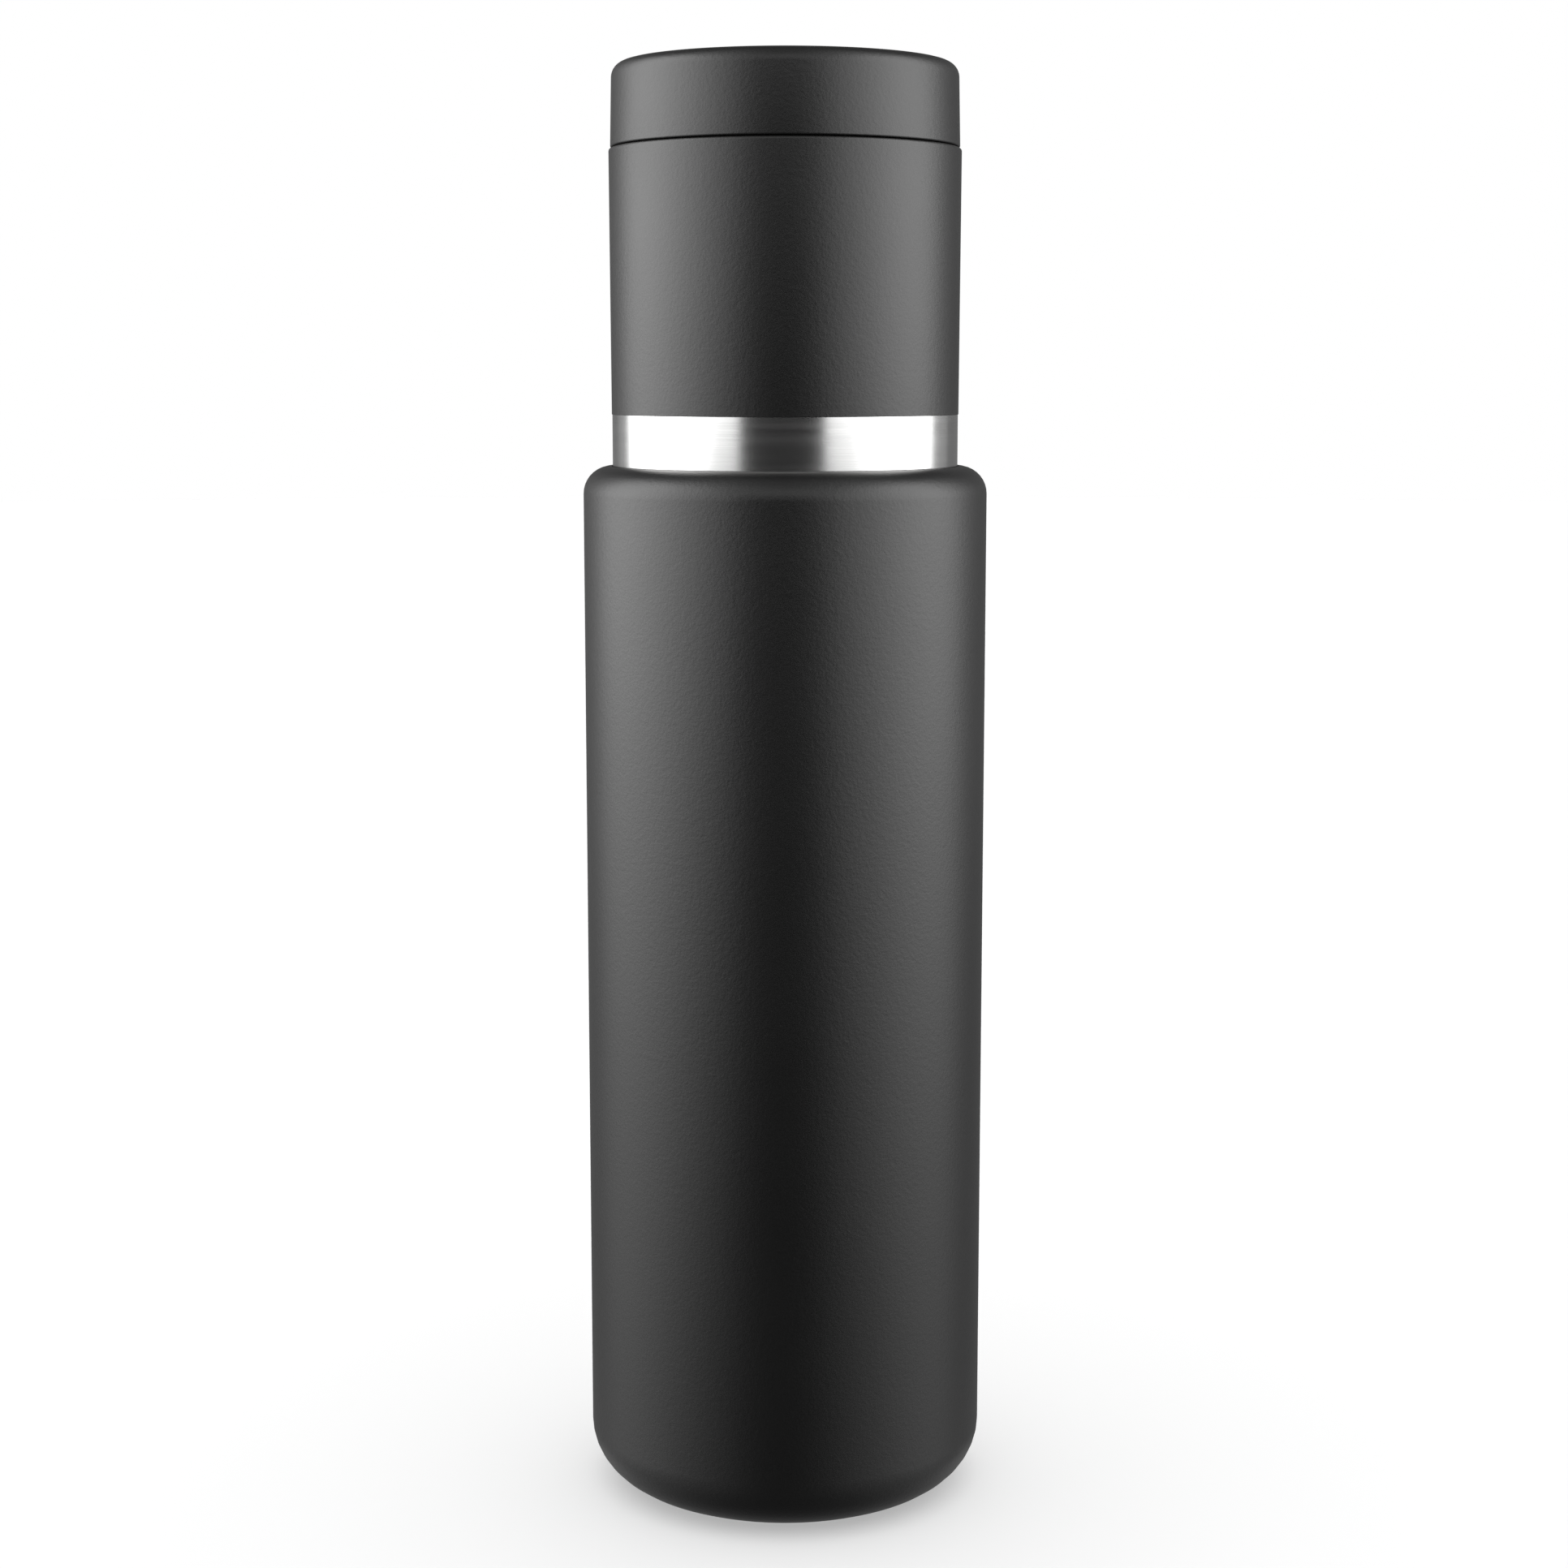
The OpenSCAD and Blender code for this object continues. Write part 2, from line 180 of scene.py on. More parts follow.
def ridges(wall_r, z_start, rise, lead, starts, height, inward=False):
    """Vertices and faces of a thread's helical ridges, each a closed solid that bites into its wall."""
    bite, sunk, half_root, half_crest, crest_round = 0.3, 0.15, 0.85, 0.4, 0.25
    span, fade = TURN * rise / lead, math.radians(39)
    profile = outline([
        (-half_root, -bite), (-half_crest, height, crest_round),
        (half_crest, height, crest_round), (half_root, -bite),
    ])
    sections, count = math.ceil(span / math.radians(2)), len(profile)
    verts, faces = [], []
    for start in range(starts):
        first = len(verts)
        for i in range(sections + 1):
            along = span * i / sections
            angle = FIRST_START + TURN * start / starts + along
            grown = min(1.0, along / fade, (span - along) / fade)
            squash = (bite - sunk + (height + sunk) * grown) / (height + bite)
            for across, out in profile:
                proud = (out + bite) * squash - bite
                r = wall_r - proud if inward else wall_r + proud
                z = z_start + lead * along / TURN + across
                verts.append((r * math.cos(angle) * MM, r * math.sin(angle) * MM, z * MM))
        for low in range(first, first + sections * count, count):
            for j in range(count):
                k = (j + 1) % count
                faces.append([low + j, low + k, low + count + k, low + count + j])
        faces.append(list(range(first, first + count)))
        faces.append(list(range(first + sections * count, first + (sections + 1) * count)))
    return verts, faces


def turned(name, corners, body, nodes, material, segments=256, centre=(0.0, 0.0), radius=None,
           on_it=None):
    """A closed solid of revolution, riding on a body and standing for CAD nodes.

    radius is a function (angle, r, z) -> r that bends its walls, and on_it are a thread's ridges.
    """
    points = outline(corners)
    verts, rings = [], []
    for r, z in points:
        if r < 1e-6:
            rings.append([len(verts)] * segments)
            verts.append((centre[0] * MM, centre[1] * MM, z * MM))
            continue
        rings.append(list(range(len(verts), len(verts) + segments)))
        for j in range(segments):
            angle = TURN * j / segments
            here = radius(angle, r, z) if radius else r
            verts.append((
                (centre[0] + here * math.cos(angle)) * MM,
                (centre[1] + here * math.sin(angle)) * MM,
                z * MM,
            ))
    faces = []
    for low, high in zip(rings, rings[1:] + rings[:1]):
        for j in range(segments):
            k = (j + 1) % segments
            face = list(dict.fromkeys([low[j], low[k], high[k], high[j]]))
            if len(face) > 2:
                faces.append(face)
    if on_it:
        faces += [[len(verts) + corner for corner in face] for face in on_it[1]]
        verts += on_it[0]
    mesh = bpy.data.meshes.new(name)
    mesh.from_pydata(verts, [], faces)
    mesh.validate()
    outwards = bmesh.new()
    outwards.from_mesh(mesh)
    bmesh.ops.recalc_face_normals(outwards, faces=outwards.faces)
    outwards.to_mesh(mesh)
    outwards.free()
    mesh.polygons.foreach_set("use_smooth", [True] * len(mesh.polygons))
    mesh.set_sharp_from_angle(angle=SHARP_ANGLE)
    piece = bpy.data.objects.new(name, mesh)
    bpy.context.collection.objects.link(piece)
    mesh.materials.append(material)
    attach(piece, body)
    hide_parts(*nodes)
    return piece


# ---------------------------------------------------------------- materials


class Shader:
    """A Principled material under construction, with short names for the nodes it needs."""

    def __init__(self, name, **settings):
        self.material = bpy.data.materials.new(name)
        self.material.use_nodes = True
        self.nodes = self.material.node_tree.nodes
        self.links = self.material.node_tree.links
        self.bsdf = self.nodes["Principled BSDF"]
        for socket, value in settings.items():
            self.bsdf.inputs[socket.replace("_", " ")].default_value = value
        self.place = self.nodes.new("ShaderNodeTexCoord").outputs["Object"]

    def stretched(self, along_x, along_y, along_z):
        node = self.nodes.new("ShaderNodeMapping")
        node.inputs["Scale"].default_value = (along_x, along_y, along_z)
        self.links.new(self.place, node.inputs["Vector"])
        return node.outputs["Vector"]

    def noise(self, scale, detail=2.0, roughness=0.5, vector=None):
        node = self.nodes.new("ShaderNodeTexNoise")
        node.inputs["Scale"].default_value = scale
        node.inputs["Detail"].default_value = detail
        node.inputs["Roughness"].default_value = roughness
        self.links.new(vector or self.place, node.inputs["Vector"])
        return node.outputs["Fac"]

    def cells(self, scale, feature="F1", vector=None):
        node = self.nodes.new("ShaderNodeTexVoronoi")
        node.feature = feature
        node.inputs["Scale"].default_value = scale
        self.links.new(vector or self.place, node.inputs["Vector"])
        return node.outputs["Distance"]

    def remap(self, value, low, high, from_low=0.0, from_high=1.0):
        node = self.nodes.new("ShaderNodeMapRange")
        node.inputs["From Min"].default_value = from_low
        node.inputs["From Max"].default_value = from_high
        node.inputs["To Min"].default_value = low
        node.inputs["To Max"].default_value = high
        self.links.new(value, node.inputs["Value"])
        return node.outputs["Result"]

    def colours(self, value, dark, light):
        node = self.nodes.new("ShaderNodeMix")
        node.data_type = "RGBA"
        node.inputs["A"].default_value = (*dark, 1.0)
        node.inputs["B"].default_value = (*light, 1.0)
        self.links.new(value, node.inputs["Factor"])
        self.links.new(node.outputs["Result"], self.bsdf.inputs["Base Color"])

    def roughness(self, value, low, high):
        self.links.new(self.remap(value, low, high), self.bsdf.inputs["Roughness"])

    def bump(self, *layers):
        """Each layer is (height output, strength, height in millimetres)."""
        last = None
        for height, strength, depth in layers:
            node = self.nodes.new("ShaderNodeBump")
            node.inputs["Strength"].default_value = strength
            node.inputs["Distance"].default_value = depth * MM
            self.links.new(height, node.inputs["Height"])
            if last:
                self.links.new(last, node.inputs["Normal"])
            last = node.outputs["Normal"]
        self.links.new(last, self.bsdf.inputs["Normal"])

    def clear_from_behind(self):
        """Lets a view from the back of the surface pass through it."""
        side = self.nodes.new("ShaderNodeNewGeometry")
        clear = self.nodes.new("ShaderNodeBsdfTransparent")
        mix = self.nodes.new("ShaderNodeMixShader")
        self.links.new(side.outputs["Backfacing"], mix.inputs["Fac"])
        self.links.new(self.bsdf.outputs["BSDF"], mix.inputs[1])
        self.links.new(clear.outputs["BSDF"], mix.inputs[2])
        self.links.new(mix.outputs["Shader"], self.nodes["Material Output"].inputs["Surface"])


def powder_coat():
    s = Shader("powder_coat", Specular_IOR_Level=0.5)
    grain = s.noise(2600, detail=3.0, roughness=0.6)
    peel = s.noise(1100, detail=1.0)
    patch = s.noise(45, detail=3.0)
    s.colours(s.remap(grain, 0.0, 1.0, 0.3, 0.7), (0.0010, 0.0010, 0.0010), (0.0020, 0.0020, 0.0020))
    s.roughness(patch, 0.38, 0.43)
    s.bump((peel, 0.7, 0.034), (grain, 0.8, 0.034))
    return s.material


def brushed_steel():
    s = Shader("brushed_steel", Metallic=1.0, Anisotropic=0.55, Anisotropic_Rotation=0.25)
    streaks = s.noise(1.0, detail=4.0, roughness=0.65, vector=s.stretched(60, 60, 9000))
    soft = s.noise(1.0, detail=2.0, vector=s.stretched(25, 25, 900))
    s.colours(streaks, (0.44, 0.44, 0.438), (0.60, 0.60, 0.596))
    s.roughness(soft, 0.21, 0.30)
    s.bump((streaks, 0.10, 0.006))
    tangent = s.nodes.new("ShaderNodeTangent")
    tangent.direction_type = "RADIAL"
    tangent.axis = "Z"
    s.links.new(tangent.outputs["Tangent"], s.bsdf.inputs["Tangent"])
    return s.material


def satin_steel():
    s = Shader("satin_steel", Metallic=1.0)
    rings = s.noise(1.0, detail=3.0, vector=s.stretched(40, 40, 5000))
    cloud = s.noise(60, detail=3.0)
    s.colours(cloud, (0.56, 0.555, 0.545), (0.68, 0.672, 0.66))
    s.roughness(cloud, 0.24, 0.36)
    s.bump((rings, 0.12, 0.006))
    return s.material


def moulded_plastic():
    s = Shader("moulded_plastic", Specular_IOR_Level=0.45)
    grain = s.noise(3500, detail=2.0)
    cloud = s.noise(80, detail=3.0)
    s.colours(cloud, (0.010, 0.010, 0.0105), (0.018, 0.018, 0.019))
    s.roughness(cloud, 0.34, 0.46)
    s.bump((grain, 0.2, 0.01))
    return s.material


def silicone():
    s = Shader("silicone", Specular_IOR_Level=0.4)
    grain = s.noise(2200, detail=2.0)
    dust = s.noise(300, detail=4.0, roughness=0.7)
    s.colours(s.remap(dust, 0.0, 1.0, 0.35, 0.75), (0.060, 0.060, 0.062), (0.092, 0.092, 0.094))
    s.roughness(dust, 0.55, 0.72)
    s.bump((grain, 0.2, 0.012))
    return s.material


def copper_foil():
    s = Shader("copper_foil", Metallic=1.0)
    creases = s.cells(260, feature="DISTANCE_TO_EDGE")
    cloud = s.noise(90, detail=4.0)
    s.colours(cloud, (0.78, 0.38, 0.22), (0.93, 0.56, 0.38))
    s.roughness(cloud, 0.16, 0.30)
    s.bump((creases, 0.4, 0.05), (cloud, 0.3, 0.1))
    return s.material


def solder_glass():
    s = Shader("solder_glass", Specular_IOR_Level=0.6)
    cloud = s.noise(900, detail=4.0)
    s.colours(cloud, (0.018, 0.022, 0.020), (0.060, 0.068, 0.062))
    s.roughness(cloud, 0.08, 0.22)
    s.bump((cloud, 0.3, 0.03))
    return s.material


def getter_alloy():
    s = Shader("getter_alloy", Metallic=0.6)
    grit = s.cells(5200)
    cloud = s.noise(800, detail=4.0)
    s.colours(cloud, (0.10, 0.097, 0.092), (0.24, 0.233, 0.222))
    s.roughness(cloud, 0.55, 0.8)
    s.bump((grit, 0.7, 0.05))
    return s.material


def foam():
    s = Shader("foam", Specular_IOR_Level=0.3)
    bubbles = s.cells(1500)
    cloud = s.noise(120, detail=3.0)
    s.colours(cloud, (0.66, 0.64, 0.58), (0.80, 0.78, 0.72))
    s.roughness(cloud, 0.8, 0.95)
    s.bump((bubbles, 0.6, 0.2))
    return s.material


def stage_paint():
    s = Shader("stage_paint", Specular_IOR_Level=0.2)
    cloud = s.noise(3, detail=2.0)
    s.colours(cloud, (0.80, 0.80, 0.80), (0.82, 0.82, 0.82))
    s.roughness(cloud, 0.7, 0.8)
    s.clear_from_behind()
    return s.material


COAT = powder_coat()
BRUSHED = brushed_steel()
SATIN = satin_steel()
PLASTIC = moulded_plastic()
SILICONE = silicone()
COPPER = copper_foil()
GLASS = solder_glass()
GETTER = getter_alloy()
FOAM = foam()

# ---------------------------------------------------------------- bottle


def bottle_skin():
    """The coat, from the foot's edge to where the cup hides it in the shoulder's recess."""
    inner_r, low_z, high_z = BODY_R - COAT_T, SHELL_Z + COAT_T, SHOULDER_Z - COAT_T
    seat_r, seat_z = SEAT_R + COAT_T, SEAT_Z - COAT_T
    turned("bottle_coat", [
        (FOOT_R, SHELL_Z, 0.05), (BODY_R, SHELL_Z, BASE_ROUND),
        (BODY_R, SHOULDER_Z, SHOULDER_ROUND), (SEAT_R, SHOULDER_Z, 0.12), (SEAT_R, SEAT_Z, 0.1),
        (COAT_STOP_R, SEAT_Z, 0.05), (COAT_STOP_R, seat_z), (seat_r, seat_z),
        (seat_r, high_z), (inner_r, high_z, SHOULDER_ROUND - COAT_T),
        (inner_r, low_z, BASE_ROUND - COAT_T), (FOOT_R, low_z),
    ], "bottle", ["outer_shell"], COAT, segments=320)


def bottle_wall():
    """The steel under the coat, with the bare neck and the flange in the foot."""
    outer_r, low_z, high_z = BODY_R - COAT_T, SHELL_Z + COAT_T, SHOULDER_Z - COAT_T
    inner_r, inner_low_z, inner_high_z = BODY_R - SHELL_T, SHELL_Z + SHELL_T, SHOULDER_Z - SHELL_T
    seat_r, inner_seat_r, seat_z = SEAT_R + COAT_T, SEAT_R + SHELL_T, SEAT_Z - COAT_T
    turned("bottle_wall", [
        (FOOT_R - SHELL_T, low_z, 0.1), (outer_r, low_z, BASE_ROUND - COAT_T),
        (outer_r, high_z, SHOULDER_ROUND - COAT_T), (seat_r, high_z), (seat_r, seat_z),
        (NECK_R, seat_z, 1.2), (NECK_R, NECK_TOP_Z), (NECK_R - SHELL_T, NECK_TOP_Z),
        (NECK_R - SHELL_T, SEAT_Z - SHELL_T, 1.0), (inner_seat_r, SEAT_Z - SHELL_T),
        (inner_seat_r, inner_high_z), (inner_r, inner_high_z, inner_r - inner_seat_r - FILLET_GAP),
        (inner_r, inner_low_z, BASE_ROUND - SHELL_T), (FOOT_R, inner_low_z, 0.2),
        (FOOT_R, FOOT_FLANGE_Z, 0.1), (FOOT_R - SHELL_T, FOOT_FLANGE_Z, 0.1),
    ], "bottle", ["outer_shell"], SATIN)


def bottle_liner():
    inner_r, low_z, high_z = LINER_R - LINER_T, LINER_Z + LINER_T, LINER_TOP_Z - LINER_T
    lip = (NECK_R - MOUTH_R) / 2
    turned("inner_vessel_wall", [
        (0, LINER_Z), (LINER_R, LINER_Z, LINER_LOW_ROUND),
        (LINER_R, LINER_TOP_Z, LINER_HIGH_ROUND), (MOUTH_R + LINER_T, LINER_TOP_Z, 1.5),
        (MOUTH_R + LINER_T, NECK_TOP_Z), (NECK_R, NECK_TOP_Z),
        (NECK_R, CROWN_Z, lip), (MOUTH_R, CROWN_Z, lip),
        (MOUTH_R, high_z, 1.9), (inner_r, high_z, LINER_HIGH_ROUND - LINER_T),
        (inner_r, low_z, LINER_LOW_ROUND - LINER_T), (0, low_z),
    ], "bottle", ["inner_vessel"], SATIN)


def neck_ring():
    turned("neck_thread", [
        (NECK_R, NECK_RING_Z), (NECK_WALL_R, NECK_RING_Z), (NECK_WALL_R, NECK_RING_TOP_Z, 0.3),
        (NECK_R, NECK_RING_TOP_Z),
    ], "bottle", ["neck_thread_ring"], SATIN, on_it=ridges(NECK_WALL_R, **NECK_THREAD))


def foil():
    """Thin foil, lightly crinkled on the side that faces the outer wall."""
    crinkle, round_it, up_it = 0.12, 9, 5

    def crinkled(angle, r, z):
        if r < LINER_R + FOIL_T / 2:
            return r
        at = Vector((math.cos(angle) * round_it, math.sin(angle) * round_it, z / up_it))
        return r + crinkle * max(0.0, noise.noise(at))

    turned("foil_wrap", [
        *ladder(LINER_R, FOIL_TOP_Z, FOIL_Z, step=2.0),
        *ladder(LINER_R + FOIL_T, FOIL_Z, FOIL_TOP_Z, step=2.0),
    ], "bottle", ["reflective_foil"], COPPER, radius=crinkled)


def foot():
    """The floor with its pump-out dimple, the glass that seals it, and the grooved pad below."""
    dimple_z, bead_z, pad_top_z = PLATE_Z + DIMPLE_RISE, PLATE_Z + 0.2, PLATE_Z - 0.4
    groove_w, groove_depth = 1.6, 0.6
    turned("floor_plate", [
        (PUMP_HOLE_R, dimple_z), (DIMPLE_R, dimple_z, 0.3), (DIMPLE_EDGE_R, PLATE_Z, 0.3),
        (PLATE_R, PLATE_Z), (PLATE_R, PLATE_Z + SHELL_T), (DIMPLE_EDGE_R, PLATE_Z + SHELL_T, 0.3),
        (DIMPLE_R, dimple_z + SHELL_T, 0.3), (PUMP_HOLE_R, dimple_z + SHELL_T),
    ], "bottle", ["base_plate"], SATIN)
    turned("seal_bead", [
        (0, bead_z), (BEAD_R, bead_z, 0.25), (BEAD_R, dimple_z),
        (PUMP_HOLE_R, dimple_z), (PUMP_HOLE_R, dimple_z + SHELL_T, 0.2), (0, dimple_z + SHELL_T),
    ], "bottle", ["vacuum_seal_bead"], GLASS, segments=64)
    grooves = []
    for r in (18.0, 14.0, 10.0):
        grooves += [
            (r + groove_w, 0, 0.2), (r + groove_w, groove_depth, 0.15), (r, groove_depth, 0.15), (r, 0, 0.2),
        ]
    turned("foot_pad", [
        (0, pad_top_z), (DIMPLE_EDGE_R, pad_top_z), (DIMPLE_EDGE_R, PLATE_Z), (PLATE_R, PLATE_Z),
        (PLATE_R, 0, 0.6), *grooves, (0, 0),
    ], "bottle", ["base_pad"], SILICONE)


def getter():
    low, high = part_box("getter_holder")
    centre = ((low[0] + high[0]) / 2 / MM, (low[1] + high[1]) / 2 / MM)
    tray_r, tray_z, tray_top_z = (high[0] - low[0]) / 2 / MM, low[2] / MM, high[2] / MM
    pellet_top_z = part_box("getter_pellet")[1][2] / MM
    wall = 0.3
    turned("getter_tray", [
        (0, tray_z), (tray_r, tray_z, 0.25), (tray_r, tray_top_z, 0.1),
        (tray_r - wall, tray_top_z, 0.1), (tray_r - wall, tray_z + wall), (0, tray_z + wall),
    ], "bottle", ["getter_holder"], SATIN, segments=64, centre=centre)
    turned("getter_tablet", [
        (0, tray_z + wall), (tray_r - wall, tray_z + wall),
        (tray_r - wall, pellet_top_z, 0.3), (0, pellet_top_z),
    ], "bottle", ["getter_pellet"], GETTER, segments=64, centre=centre)


# ---------------------------------------------------------------- cup


def cup_outside():
    """The coat, which stops above the lip, and the steel under it with the bare rolled lip."""
    steel_r, steel_top_z = CUP_R - COAT_T, CUP_TOP_Z - COAT_T
    inner_top_r = steel_r - SHELL_T
    turned("cup_coat", [
        (LIP_R, COAT_EDGE_Z), (LIP_R + COAT_T, COAT_EDGE_Z, 0.06),
        (CUP_R, CUP_TOP_Z, CUP_EDGE_ROUND), (SPOUT_HOLE_R, CUP_TOP_Z),
        (SPOUT_HOLE_R, steel_top_z), (steel_r, steel_top_z, CUP_EDGE_ROUND - COAT_T),
    ], "cup", ["cup_sleeve"], COAT, segments=320)
    steel = turned("cup_steel", [
        (LIP_R - LIP_ROLL_R, CUP_Z + LIP_ROLL_R), (LIP_R - 2 * LIP_ROLL_R, CUP_Z + LIP_ROLL_R),
        (LIP_R - 2 * LIP_ROLL_R, CUP_Z, LIP_ROLL_R), (LIP_R, CUP_Z, LIP_ROLL_R),
        (LIP_R, COAT_EDGE_Z), (steel_r, steel_top_z, CUP_EDGE_ROUND - COAT_T),
        (SPOUT_HOLE_R, steel_top_z), (SPOUT_HOLE_R, CUP_TOP_Z - SHELL_T),
        (inner_top_r, CUP_TOP_Z - SHELL_T), (LIP_R - LIP_ROLL_R, COAT_EDGE_Z),
    ], "cup", ["cup_sleeve"], BRUSHED, segments=320)
    steel.visible_glossy = False  # keeps the bright lip's reflection out of the shoulder's coat


def cup_inside():
    hole_r, corner, flare, flare_z = SPOUT_WALL_R, 5.0, 6.0, CUP_Z + CUP_FLARE_H
    lip_r, lip_z = LIP_R - 2 * LIP_ROLL_R, CUP_Z + LIP_ROLL_R
    turned("cup_inner_wall", [
        (lip_r, lip_z), (CUP_LINER_R, flare_z, flare), (CUP_LINER_R, CUP_FLOOR_Z, corner),
        (hole_r, CUP_FLOOR_Z), (hole_r, CUP_FLOOR_Z + LINER_T),
        (CUP_LINER_R + LINER_T, CUP_FLOOR_Z + LINER_T, corner + LINER_T),
        (CUP_LINER_R + LINER_T, flare_z, flare), (lip_r + LINER_T, lip_z),
    ], "cup", ["cup_liner"], SATIN)


def cup_ring():
    thread = ridges(CUP_RING_WALL_R, **mate(NECK_THREAD, shorter=2.0))
    washer_bore_r = MOUTH_R + 0.5
    turned("cup_thread", [
        (CUP_LINER_R, CUP_RING_Z, 0.2), (CUP_LINER_R, CUP_RING_TOP_Z, 0.3),
        (CUP_RING_BORE_R, CUP_RING_TOP_Z, 0.5), (CUP_RING_BORE_R, CUP_GASKET_TOP_Z, 0.2),
        (CUP_POCKET_R, CUP_GASKET_TOP_Z), (CUP_POCKET_R, CUP_POCKET_Z, 0.1),
        (CUP_RING_WALL_R, CUP_POCKET_Z), (CUP_RING_WALL_R, CUP_RING_Z, 0.5),
    ], "cup", ["cup_thread_ring"], PLASTIC, on_it=thread)
    turned("cup_seal_washer", [
        (washer_bore_r, CUP_GASKET_Z, 0.4), (CUP_GASKET_R, CUP_GASKET_Z, 0.4),
        (CUP_GASKET_R, CUP_GASKET_TOP_Z, 0.4), (washer_bore_r, CUP_GASKET_TOP_Z, 0.4),
    ], "cup_seal", ["cup_gasket"], SILICONE)


def spout():
    lip_round = (SPOUT_WALL_R - SPOUT_BORE_R) / 2 - FILLET_GAP
    flange_top_z = SPOUT_FLANGE_Z + SPOUT_FLANGE_T
    washer_bore_r = SPOUT_BODY_R + 0.3
    turned("drinking_spout", [
        (SPOUT_BORE_R, SPOUT_Z, 0.5), (SPOUT_TAIL_R, SPOUT_Z, 0.3),
        (SPOUT_TAIL_R, CUP_FLOOR_Z + LINER_T), (SPOUT_BODY_R, CUP_FLOOR_Z + LINER_T),
        (SPOUT_BODY_R, SPOUT_FLANGE_Z), (SPOUT_FLANGE_R, SPOUT_FLANGE_Z, 0.2),
        (SPOUT_FLANGE_R, flange_top_z, 0.4), (SPOUT_WALL_R, flange_top_z, 0.4),
        (SPOUT_WALL_R, SPOUT_TOP_Z, lip_round), (SPOUT_BORE_R, SPOUT_TOP_Z, lip_round),
    ], "cup", ["spout"], PLASTIC, on_it=ridges(SPOUT_WALL_R, **SPOUT_THREAD))
    turned("spout_flange_washer", [
        (washer_bore_r, CUP_TOP_Z, 0.1), (FLANGE_GASKET_R, CUP_TOP_Z, 0.1),
        (FLANGE_GASKET_R, SPOUT_FLANGE_Z, 0.1), (washer_bore_r, SPOUT_FLANGE_Z, 0.1),
    ], "cup", ["spout_flange_gasket"], SILICONE)


def spout_clamp():
    """The nut, with its round notches for a spanner, and the washer above it."""
    notches, notch_r, notch_top_z = 6, 1.8, NUT_TOP_Z - 1.0
    edge, step = 0.4, 0.02

    def notched(angle, r, z):
        if r < NUT_R - edge or z > notch_top_z + step / 2:
            return r
        off = (angle + math.pi / notches) % (TURN / notches) - math.pi / notches
        across = NUT_R * math.sin(off)
        if abs(across) >= notch_r:
            return r
        return min(r, NUT_R * math.cos(off) - math.sqrt(notch_r ** 2 - across ** 2))

    turned("spout_lock_nut", [
        (SPOUT_TAIL_R, NUT_Z, 0.3), (NUT_R, NUT_Z, 0.3),
        *ladder(NUT_R, NUT_Z + edge, notch_top_z), (NUT_R, notch_top_z + step),
        (NUT_R, NUT_TOP_Z, 0.3), (SPOUT_TAIL_R, NUT_TOP_Z),
    ], "cup", ["spout_nut"], PLASTIC, segments=720, radius=notched)
    turned("spout_nut_washer", [
        (SPOUT_TAIL_R, NUT_TOP_Z), (NUT_GASKET_R, NUT_TOP_Z, 0.3),
        (NUT_GASKET_R, CUP_FLOOR_Z, 0.3), (SPOUT_TAIL_R, CUP_FLOOR_Z),
    ], "cup", ["spout_nut_gasket"], SILICONE)


# ---------------------------------------------------------------- cap


def cap_outside():
    """The coated shell, whose rolled edge reaches a little into the seam above the cup."""
    edge_z, edge_round, inner_edge_round = CAP_Z - 0.1, 0.35, 0.24
    turned("cap_coat", [
        (0, CAP_TOP_Z - CAP_T), (CAP_TOP_R - CAP_T, CAP_TOP_Z - CAP_T, CAP_ROUND - CAP_T),
        (CAP_R - CAP_T, edge_z, inner_edge_round), (CAP_R, edge_z, edge_round),
        (CAP_TOP_R, CAP_TOP_Z, CAP_ROUND), (0, CAP_TOP_Z),
    ], "cap", ["cap_shell"], COAT, segments=320)


